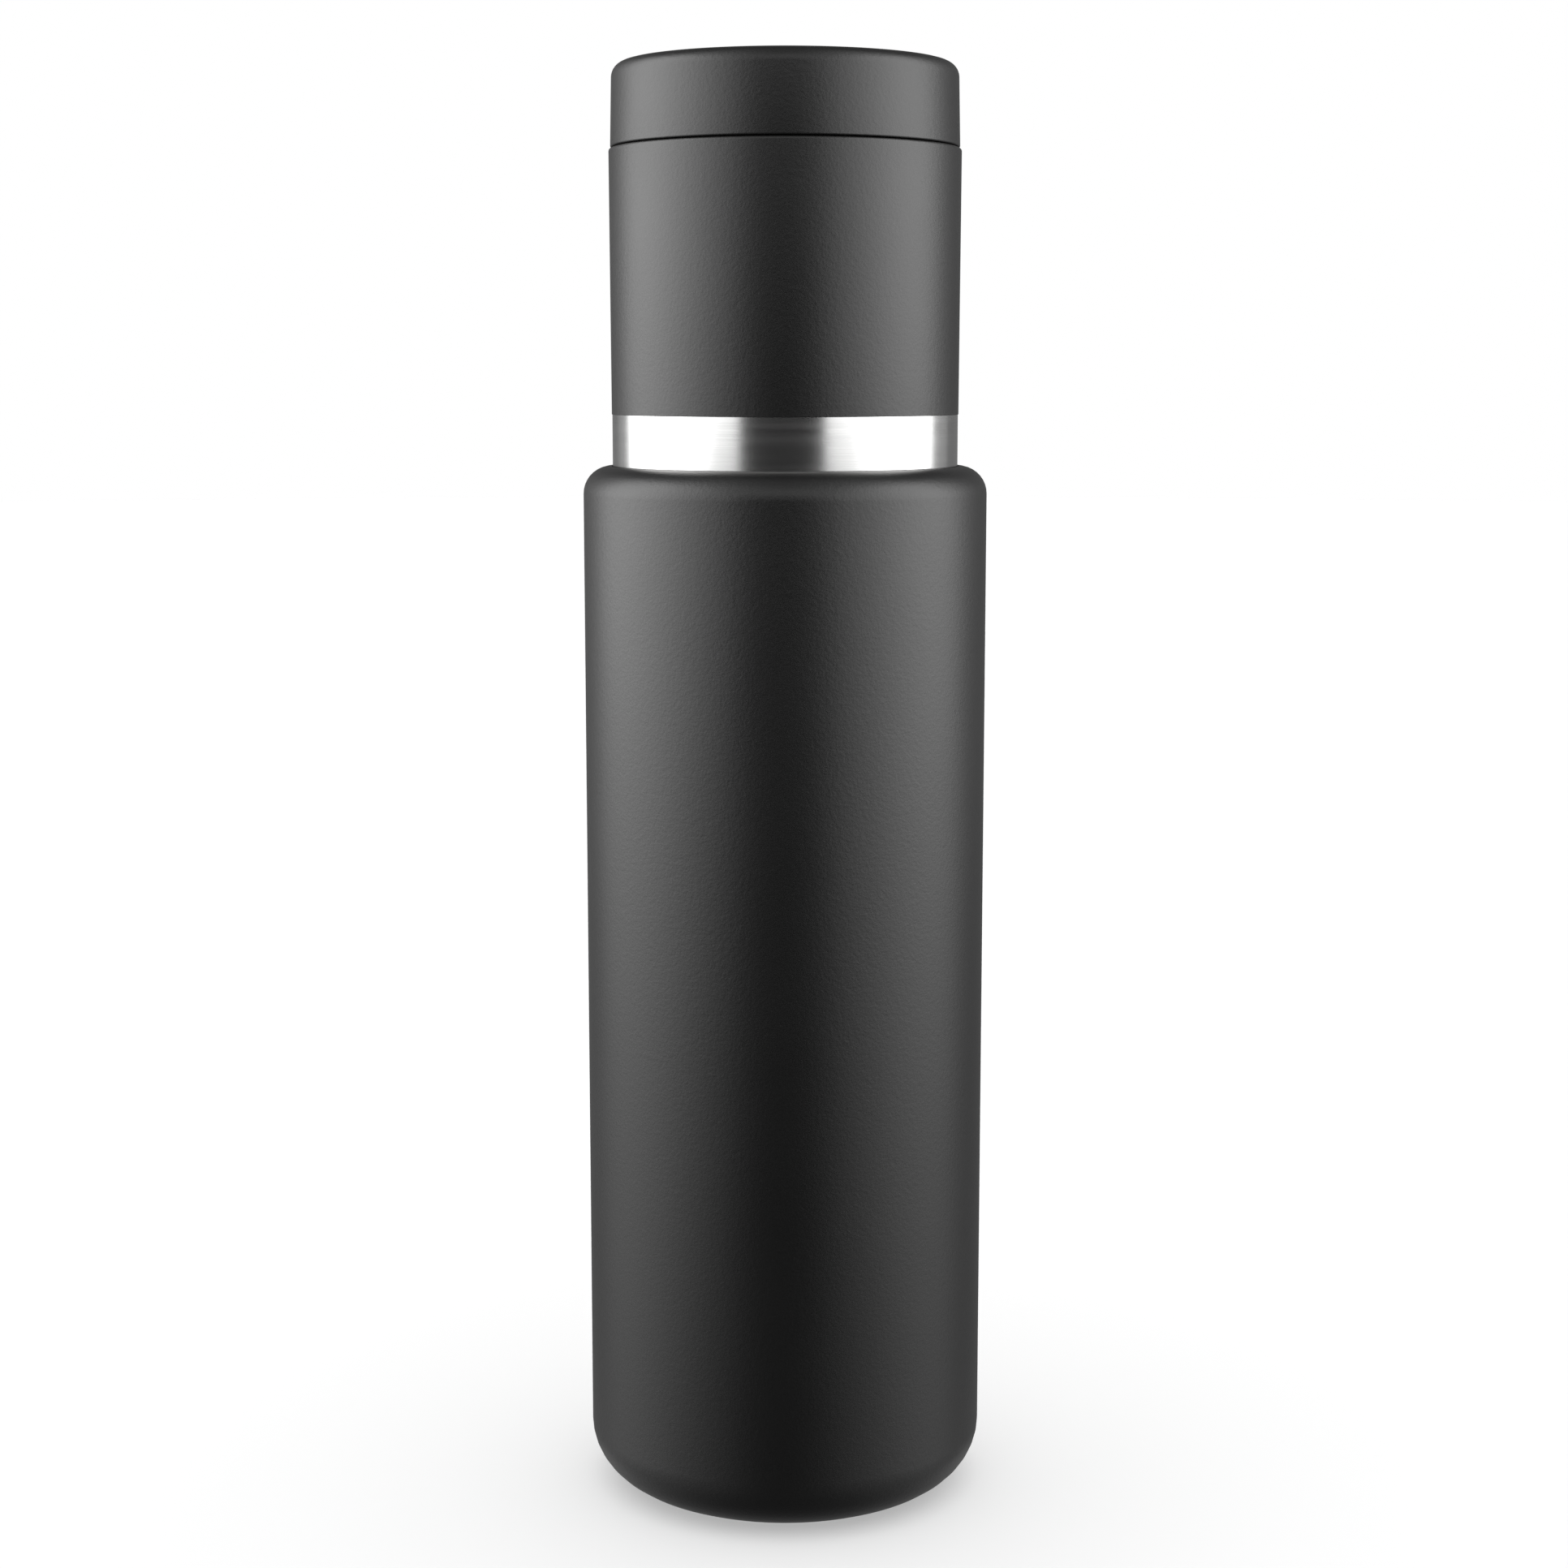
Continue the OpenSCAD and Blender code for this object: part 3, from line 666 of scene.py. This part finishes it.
def cap_inside():
    draft = (CAP_R - CAP_TOP_R) / (CAP_TOP_Z - CAP_ROUND - CAP_Z)
    web_r = CAP_R - CAP_T - draft * (CAP_WEB_Z - CAP_Z)
    web_top_z, step_top_z, step_r = CAP_WEB_Z + CAP_WEB_T, CAP_WEB_Z + 2 * CAP_WEB_T, CAP_WELL_R + 1.2
    thread = ridges(CAP_WALL_R, **mate(SPOUT_THREAD, shorter=1.0))
    turned("cap_thread", [
        (0, CAP_ROOF_Z), (CAP_WALL_R, CAP_ROOF_Z), (CAP_WALL_R, web_top_z, 0.4),
        (CAP_WELL_R, web_top_z, 0.2),
        (CAP_WELL_R, CAP_WEB_Z, 0.3), (web_r, CAP_WEB_Z, 0.2),
        (web_r - draft * CAP_WEB_T, web_top_z), (step_r, web_top_z),
        (step_r, step_top_z), (CAP_SKIRT_R, step_top_z, 0.3),
        (CAP_SKIRT_R, CAP_ROOF_TOP_Z, 0.4), (0, CAP_ROOF_TOP_Z),
    ], "cap", ["cap_core"], PLASTIC, on_it=thread)
    foam_gap, foam_low_r = 0.2, reach("cap_foam")[0]
    turned("cap_filling", [
        (0, CAP_ROOF_TOP_Z), (CAP_SKIRT_R, CAP_ROOF_TOP_Z), (CAP_SKIRT_R, step_top_z),
        (step_r, step_top_z), (step_r, FOAM_Z), (foam_low_r, FOAM_Z, 0.3),
        (CAP_TOP_R - CAP_T - foam_gap, FOAM_TOP_Z, CAP_ROUND - CAP_T - foam_gap), (0, FOAM_TOP_Z),
    ], "cap", ["cap_foam"], FOAM)
    turned("cap_disc", [
        (0, CAP_PLATE_Z), (CAP_PLATE_R, CAP_PLATE_Z, 0.4), (CAP_PLATE_R, CAP_ROOF_Z), (0, CAP_ROOF_Z),
    ], "cap", ["cap_plate"], SATIN)
    ring_bore_r = CAP_PLATE_R + 0.4
    turned("cap_seal_ring", [
        (ring_bore_r, CAP_GASKET_Z, 0.5), (CAP_GASKET_R, CAP_GASKET_Z, 0.5),
        (CAP_GASKET_R, CAP_ROOF_Z, 0.2), (ring_bore_r, CAP_ROOF_Z, 0.2),
    ], "cap_seal", ["cap_gasket"], SILICONE)


# ---------------------------------------------------------------- studio, in metres and degrees

LENS = 64.86
CAMERA_AT = (-0.0002, -0.508, 0.205)
CAMERA_DOWN = 8.41

SOFTBOX_X = 0.9
SOFTBOX_FADE = ((-0.6, 0.14), (-0.2, 0.21), (0.0, 0.46), (0.08, 0.68), (0.16, 1.0), (0.22, 1.07),
                (0.36, 1.0), (1.2, 0.9))
BEHIND_LEVEL = 0.2
FLOOR_R = 4.0
FLOOR_WHITE = 0.8
FLOOR_SHADE = 0.2
SKY_SPREAD = 120


def make_camera():
    data = bpy.data.cameras.new("camera")
    data.sensor_width = 36.0
    data.lens = LENS
    camera = bpy.data.objects.new("camera", data)
    camera.location = CAMERA_AT
    camera.rotation_euler = (math.radians(90 - CAMERA_DOWN), 0, 0)
    bpy.context.collection.objects.link(camera)
    bpy.context.scene.camera = camera


def area_lamp(name, size, peak, place, turn):
    """A rectangular lamp with a given highest radiance, which the camera doesn't see."""
    data = bpy.data.lights.new(name, "AREA")
    data.shape = "RECTANGLE"
    data.size, data.size_y = size
    data.energy = peak * math.pi * size[0] * size[1]
    data.use_nodes = True
    lamp = bpy.data.objects.new(name, data)
    lamp.location, lamp.rotation_euler = place, turn
    lamp.visible_camera = False
    bpy.context.collection.objects.link(lamp)
    return lamp


def on_lamp(tree):
    """The X and Y, each from 0 to 1, of a point on a lamp."""
    geometry = tree.nodes.new("ShaderNodeNewGeometry")
    parts = tree.nodes.new("ShaderNodeSeparateXYZ")
    tree.links.new(geometry.outputs["Parametric"], parts.inputs["Vector"])
    return parts.outputs["X"], parts.outputs["Y"]


def ramp(tree, place, stops):
    """A light level along one edge of a lamp, from (place, level) pairs with places from 0 to 1."""
    node = tree.nodes.new("ShaderNodeValToRGB")
    tree.links.new(place, node.inputs["Fac"])
    elements = node.color_ramp.elements
    elements.remove(elements[-1])
    for i, (at, level) in enumerate(sorted(stops)):
        element = elements.new(at) if i else elements[0]
        element.position = at
        element.color = (level, level, level, 1.0)
    return node.outputs["Color"]


def abreast(angle):
    """Where along a softbox a ray from the flask's axis meets it, at this angle from the camera's side."""
    return -SOFTBOX_X / math.tan(math.radians(angle))


def softbox(name, side, levels):
    """A softbox beside the flask, its radiance set by (angle, level) pairs and fading downwards."""
    near, far = abreast(levels[0][0]), abreast(levels[-1][0])
    low, high = SOFTBOX_FADE[0][0], SOFTBOX_FADE[-1][0]
    peak = max(level for _, level in levels)
    place = (side * SOFTBOX_X, (near + far) / 2, (low + high) / 2)
    lamp = area_lamp(name, (far - near, high - low), peak, place, (math.pi / 2, 0, side * math.pi / 2))
    across = []
    for angle, level in levels:
        share = (abreast(angle) - near) / (far - near)
        across.append((share if side > 0 else 1 - share, level / peak))
    upward = [((z - low) / (high - low), level) for z, level in SOFTBOX_FADE]
    tree = lamp.data.node_tree
    x, y = on_lamp(tree)
    strength = tree.nodes.new("ShaderNodeMath")
    strength.operation = "MULTIPLY"
    tree.links.new(ramp(tree, x, across), strength.inputs[0])
    tree.links.new(ramp(tree, y, upward), strength.inputs[1])
    tree.links.new(strength.outputs["Value"], tree.nodes["Emission"].inputs["Strength"])
    return lamp


def panel(name, size, levels, place, tilt):
    """A plain panel, its radiance set by (share, level) pairs across its width."""
    peak = max(level for _, level in levels)
    lamp = area_lamp(name, size, peak, place, (math.radians(tilt), 0, 0))
    tree = lamp.data.node_tree
    across = ramp(tree, on_lamp(tree)[0], [(share, level / peak) for share, level in levels])
    tree.links.new(across, tree.nodes["Emission"].inputs["Strength"])
    return lamp


def make_lamps():
    """The lamps, darkest where the flask's front, shoulder and base reflect them in the middle."""
    left = ((30, 2.3), (34, 2.35), (46, 2.4), (58, 3.8), (72, 4.9), (88, 5.6), (102, 5.0), (117, 3.6),
            (125, 2.8), (126, 0.32), (146, 0.12))
    right = ((26, 2.3), (34, 2.5), (46, 2.6), (58, 3.9), (72, 4.9), (87, 5.1), (102, 4.2), (112, 2.9),
             (113, 0.4), (135, 0.25))
    front = ((0.0, 1.1), (1.0, 1.1))
    above = ((0.0, 1.7), (0.12, 1.6), (0.28, 0.75), (0.5, 0.12), (0.72, 0.75), (0.88, 1.6), (1.0, 1.7))
    below = ((0.0, 0.6), (0.15, 0.32), (0.3, 0.14), (0.5, 0.09), (0.7, 0.14), (0.85, 0.32), (1.0, 0.6))
    return [
        softbox("softbox_left", -1, left),
        softbox("softbox_right", 1, right),
        panel("front_panel", (1.2, 1.0), front, (0, -1.3, 1.1), 90),
        panel("top_panel", (2.6, 1.7), above, (0, -0.55, 1.6), 0),
        panel("table_bounce", (1.8, 2.6), below, (0, 0, -0.7), 180),
    ]


def make_world():
    """White to the camera, a dim studio to everything else, lighter behind the flask."""
    world = bpy.data.worlds.new("studio")
    bpy.context.scene.world = world
    world.use_nodes = True
    nodes, links = world.node_tree.nodes, world.node_tree.links
    background = nodes["Background"]
    place = nodes.new("ShaderNodeTexCoord")
    parts = nodes.new("ShaderNodeSeparateXYZ")
    links.new(place.outputs["Generated"], parts.inputs["Vector"])
    behind = nodes.new("ShaderNodeMapRange")
    behind.inputs["From Min"].default_value = 0.0
    behind.inputs["From Max"].default_value = 0.8
    behind.inputs["To Min"].default_value = 0.0
    behind.inputs["To Max"].default_value = BEHIND_LEVEL
    links.new(parts.outputs["Y"], behind.inputs["Value"])
    seen = nodes.new("ShaderNodeLightPath")
    mix = nodes.new("ShaderNodeMix")
    links.new(seen.outputs["Is Camera Ray"], mix.inputs["Factor"])
    links.new(behind.outputs["Result"], mix.inputs["A"])
    mix.inputs["B"].default_value = 1.0
    links.new(mix.outputs["Result"], background.inputs["Strength"])
    background.inputs["Color"].default_value = (1, 1, 1, 1)


def make_floor():
    """A seamless disc that only the camera sees, so that the flask's gloss shows the lamps alone."""
    count = 96
    corners = [TURN * k / count for k in range(count)]
    mesh = bpy.data.meshes.new("floor")
    mesh.from_pydata([(FLOOR_R * math.cos(a), FLOOR_R * math.sin(a), 0) for a in corners], [], [range(count)])
    mesh.materials.append(stage_paint())
    floor = bpy.data.objects.new("floor", mesh)
    floor.visible_diffuse = False
    floor.visible_glossy = False
    floor.visible_shadow = False
    bpy.context.collection.objects.link(floor)
    return floor


def floor_light(name, share, shadow):
    """An overcast sky's light, as a share of what makes the floor white."""
    data = bpy.data.lights.new(name, "SUN")
    data.energy = share * math.pi / FLOOR_WHITE
    data.angle = math.radians(SKY_SPREAD)
    data.use_shadow = shadow
    light = bpy.data.objects.new(name, data)
    bpy.context.collection.objects.link(light)
    return light


def light_floor(floor, lamps):
    """Even light from above for the floor alone, which the lamps leave out."""
    skies = [floor_light("floor_fill", 1 - FLOOR_SHADE, False), floor_light("floor_shade", FLOOR_SHADE, True)]
    for name, state, lights in (("only_floor", "INCLUDE", skies), ("not_floor", "EXCLUDE", lamps)):
        group = bpy.data.collections.new(name)
        group.objects.link(floor)
        group.collection_objects[0].light_linking.link_state = state
        for light in lights:
            light.light_linking.receiver_collection = group


make_camera()
make_world()
light_floor(make_floor(), make_lamps())
bpy.context.scene.view_settings.view_transform = "Standard"

bottle_skin()
bottle_wall()
bottle_liner()
neck_ring()
foil()
foot()
getter()
cup_outside()
cup_inside()
cup_ring()
spout()
spout_clamp()
cap_outside()
cap_inside()
